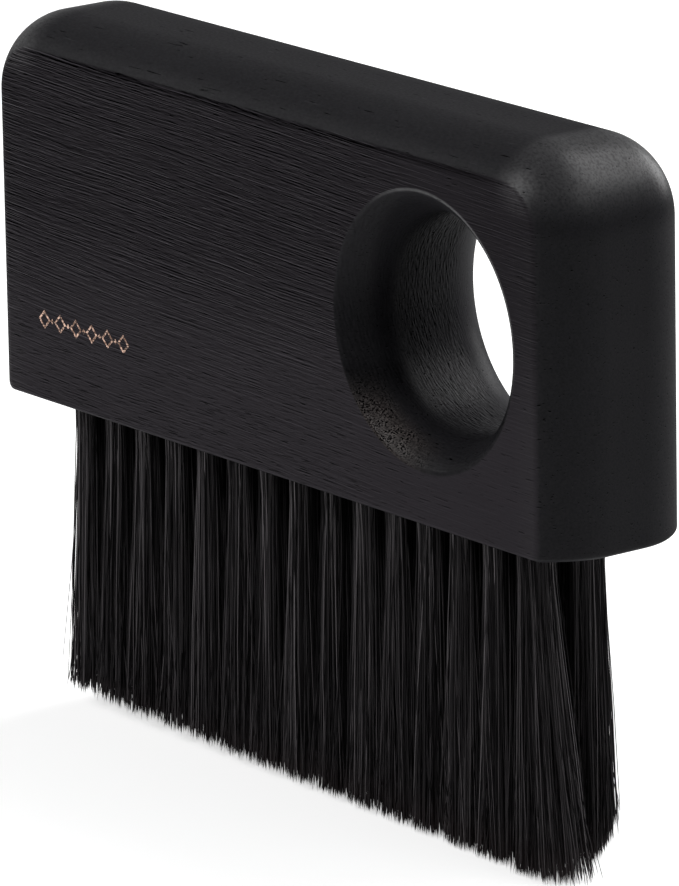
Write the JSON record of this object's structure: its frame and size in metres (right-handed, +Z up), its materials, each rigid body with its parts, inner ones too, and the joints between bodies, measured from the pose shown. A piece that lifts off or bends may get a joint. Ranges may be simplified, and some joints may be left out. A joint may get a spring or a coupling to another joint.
{
  "type": "bench brush",
  "caption": "Small hand brush: a black-stained wooden block with rounded ends and a flared finger hole, and two rows of black bristle tufts in its underside.",
  "frame": {"origin": "middle of the brush at the level of its longest bristle tips", "axes": "+X along the block towards the finger hole, +Y from the front face to the back face, +Z up from the bristle tips to the top of the block"},
  "size_m": [0.14, 0.026, 0.11],
  "materials": {
    "stained_wood": "satin black stain on open-pored wood, with the grain along the block",
    "bristle": "slightly glossy black filaments",
    "anchor_wire": "drawn flat wire, hidden in the bores"
  },
  "bodies": {
    "root": {"wood_block": "stained_wood", "tuft_anchors": "anchor_wire", "front_tuft_1": "bristle", "front_tuft_2": "bristle", "front_tuft_3": "bristle", "front_tuft_4": "bristle", "front_tuft_5": "bristle", "front_tuft_6": "bristle", "front_tuft_7": "bristle", "front_tuft_8": "bristle", "front_tuft_9": "bristle", "front_tuft_10": "bristle", "front_tuft_11": "bristle", "front_tuft_12": "bristle", "front_tuft_13": "bristle", "front_tuft_14": "bristle", "front_tuft_15": "bristle", "back_tuft_1": "bristle", "back_tuft_2": "bristle", "back_tuft_3": "bristle", "back_tuft_4": "bristle", "back_tuft_5": "bristle", "back_tuft_6": "bristle", "back_tuft_7": "bristle", "back_tuft_8": "bristle", "back_tuft_9": "bristle", "back_tuft_10": "bristle", "back_tuft_11": "bristle", "back_tuft_12": "bristle", "back_tuft_13": "bristle", "back_tuft_14": "bristle", "back_tuft_15": "bristle"}
  },
  "joints": []
}
